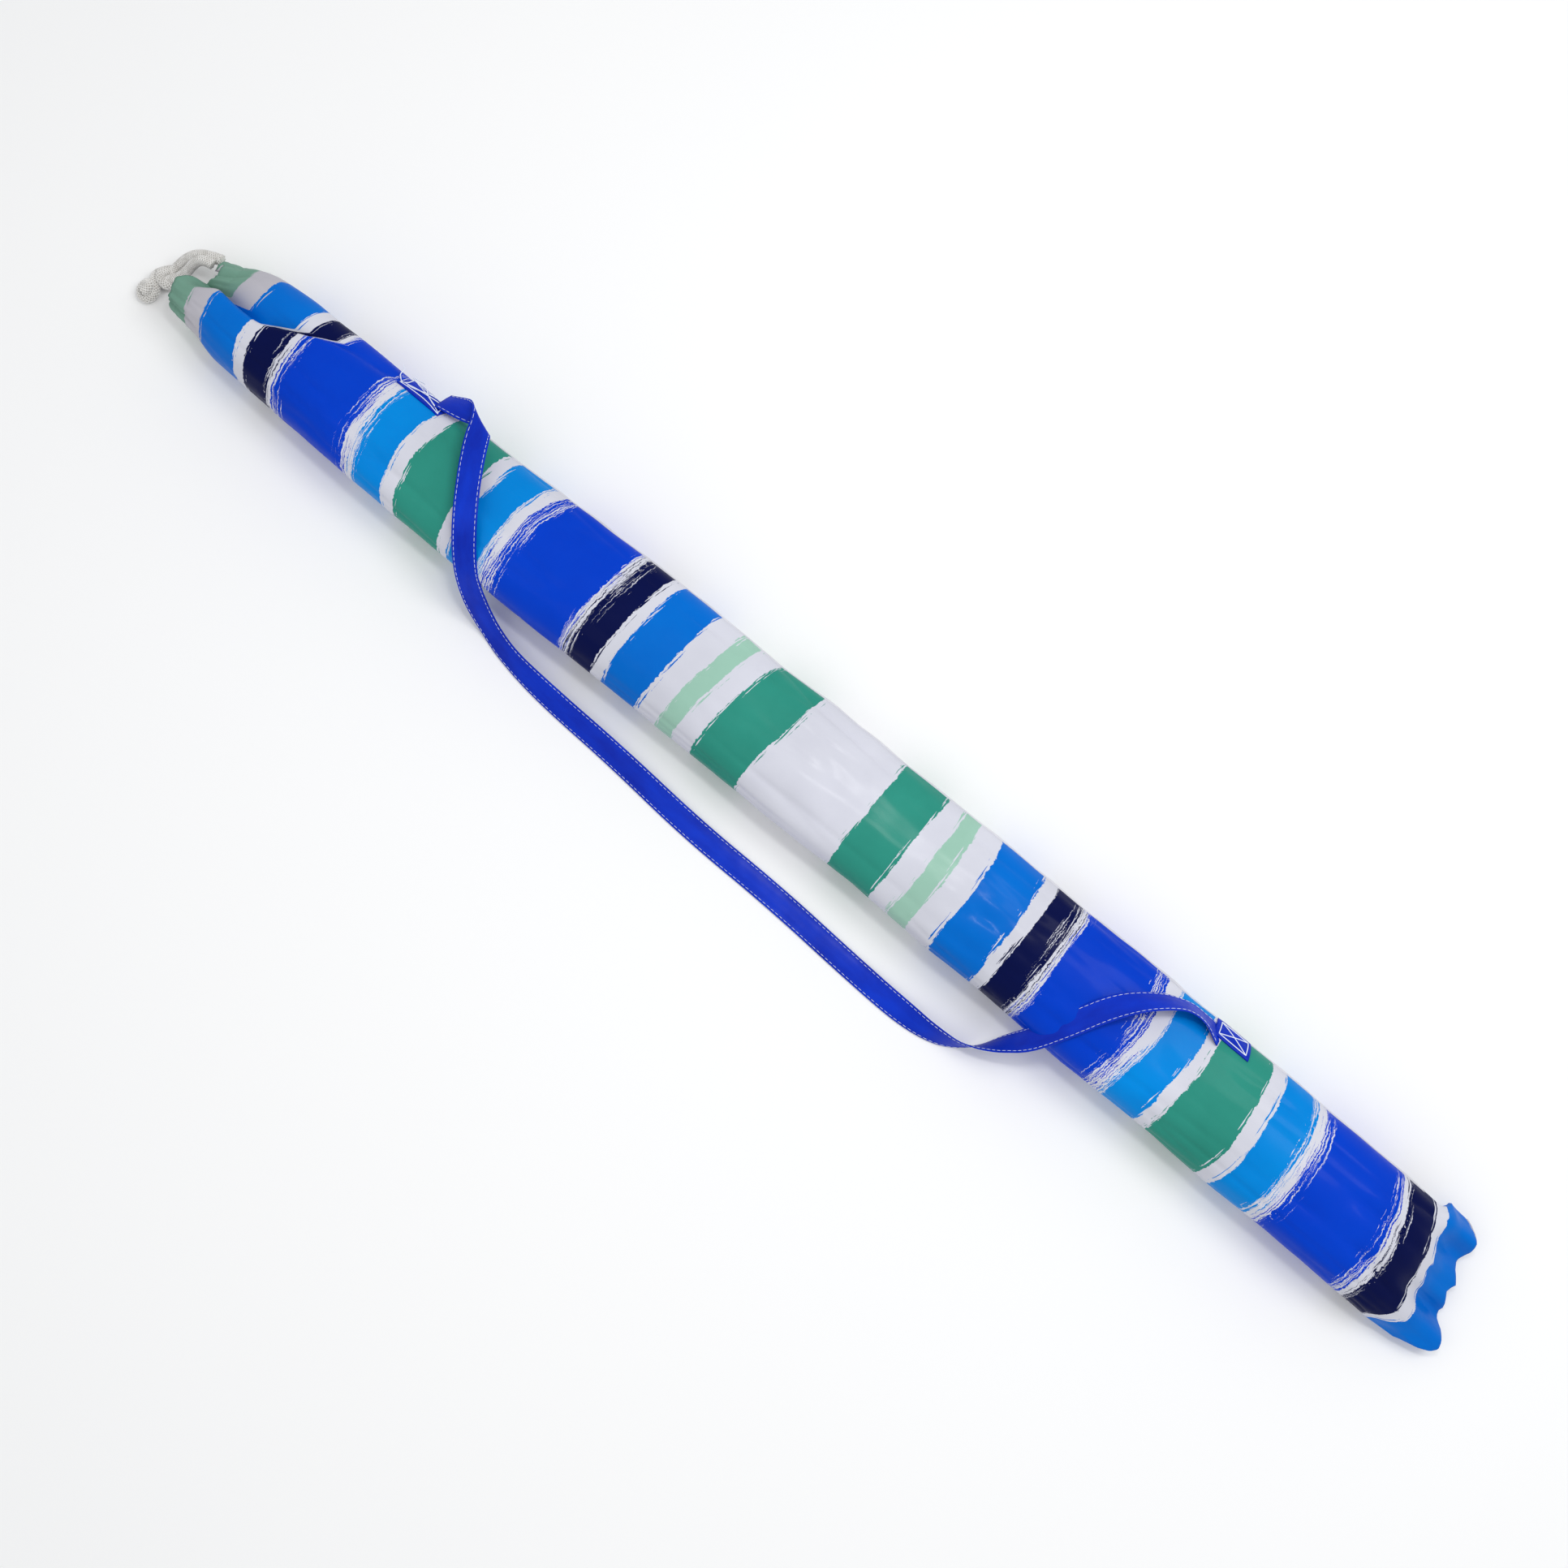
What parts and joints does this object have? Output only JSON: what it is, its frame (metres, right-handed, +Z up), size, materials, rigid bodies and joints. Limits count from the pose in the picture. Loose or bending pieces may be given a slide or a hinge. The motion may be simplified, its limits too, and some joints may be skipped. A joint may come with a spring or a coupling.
{
  "type": "beach umbrella in carry bag",
  "caption": "Folded beach umbrella in a long striped fabric carry bag with a drawstring mouth, a sewn end and a shoulder strap; the two-part pole and umbrella slide out of the mouth.",
  "frame": {"origin": "on the floor under the middle of the bag", "axes": "+X along the bag towards its sewn end, -X towards its mouth, -Y towards the shoulder strap, +Z up"},
  "size_m": [1.3124, 0.1549, 0.0834],
  "materials": {
    "bag_cloth": "satin coated polyester, painted stripes",
    "strap_cloth": "satin coated polyester, stitched",
    "rope": "soft braided cord",
    "canopy_cloth": "satin coated polyester, painted stripes",
    "painted_pole": "gloss white powder coat",
    "fibreglass": "drawn glass fibre rod",
    "plated_steel": "zinc plated",
    "white_plastic": "moulded",
    "blue_plastic": "moulded"
  },
  "bodies": {
    "bag": {"bag_body": "bag_cloth", "bag_mouth": "bag_cloth", "shoulder_strap": "strap_cloth", "strap_end_front": "strap_cloth", "strap_end_rear": "strap_cloth", "drawstring_rope": "rope", "rope_knot": "rope"},
    "umbrella": {"upper_pole": "painted_pole", "tilt_fork": "white_plastic", "tilt_tongue": "white_plastic", "tilt_pin": "plated_steel", "tilt_spring": "plated_steel", "shaft": "painted_pole", "shaft_plug": "white_plastic", "crown": "white_plastic", "crown_wire": "plated_steel", "finial": "white_plastic", "rib_1": "fibreglass", "rib_2": "fibreglass", "rib_3": "fibreglass", "rib_4": "fibreglass", "rib_5": "fibreglass", "rib_6": "fibreglass", "rib_7": "fibreglass", "rib_8": "fibreglass", "rib_tip_caps": "white_plastic", "rib_joint_clips": "plated_steel", "runner_wire": "plated_steel", "stretcher_1": "plated_steel", "stretcher_2": "plated_steel", "stretcher_3": "plated_steel", "stretcher_4": "plated_steel", "stretcher_5": "plated_steel", "stretcher_6": "plated_steel", "stretcher_7": "plated_steel", "stretcher_8": "plated_steel", "runner": "white_plastic", "canopy": "canopy_cloth", "canopy_tie": "strap_cloth"},
    "runner_latch": {"runner_latch": "plated_steel"},
    "tilt_button": {"tilt_button": "blue_plastic"},
    "lower_pole": {"lower_pole": "painted_pole", "clamp_sleeve": "white_plastic", "ground_spike": "white_plastic"},
    "thumb_screw": {"thumb_screw": "blue_plastic"}
  },
  "joints": [
    {"name": "umbrella_slides_out", "type": "slide", "parent": "bag", "child": "umbrella", "axis": [-1, 0, 0], "range_m": [0, 1.26], "deforming": ["bag_mouth", "drawstring_rope", "rope_knot"]},
    {"name": "lower_pole_slides_out", "type": "slide", "parent": "umbrella", "child": "lower_pole", "axis": [-0.9999, 0.0125, 0], "range_m": [0, 1.22]},
    {"name": "tilt_button_press", "type": "slide", "parent": "umbrella", "child": "tilt_button", "axis": [0, 0, -1], "range_m": [0, 0.002], "stiffness_N_per_m": 400, "springref_m": -0.001, "deforming": ["tilt_spring"]},
    {"name": "runner_latch_press", "type": "slide", "parent": "umbrella", "child": "runner_latch", "axis": [0, 0, -1], "range_m": [0, 0.0024], "stiffness_N_per_m": 400, "springref_m": -0.001},
    {"name": "thumb_screw_turns", "type": "hinge", "parent": "lower_pole", "child": "thumb_screw", "pos_m": [-0.504, -0.01526, 0.05], "axis": [0, 0, 1], "continuous": true}
  ]
}
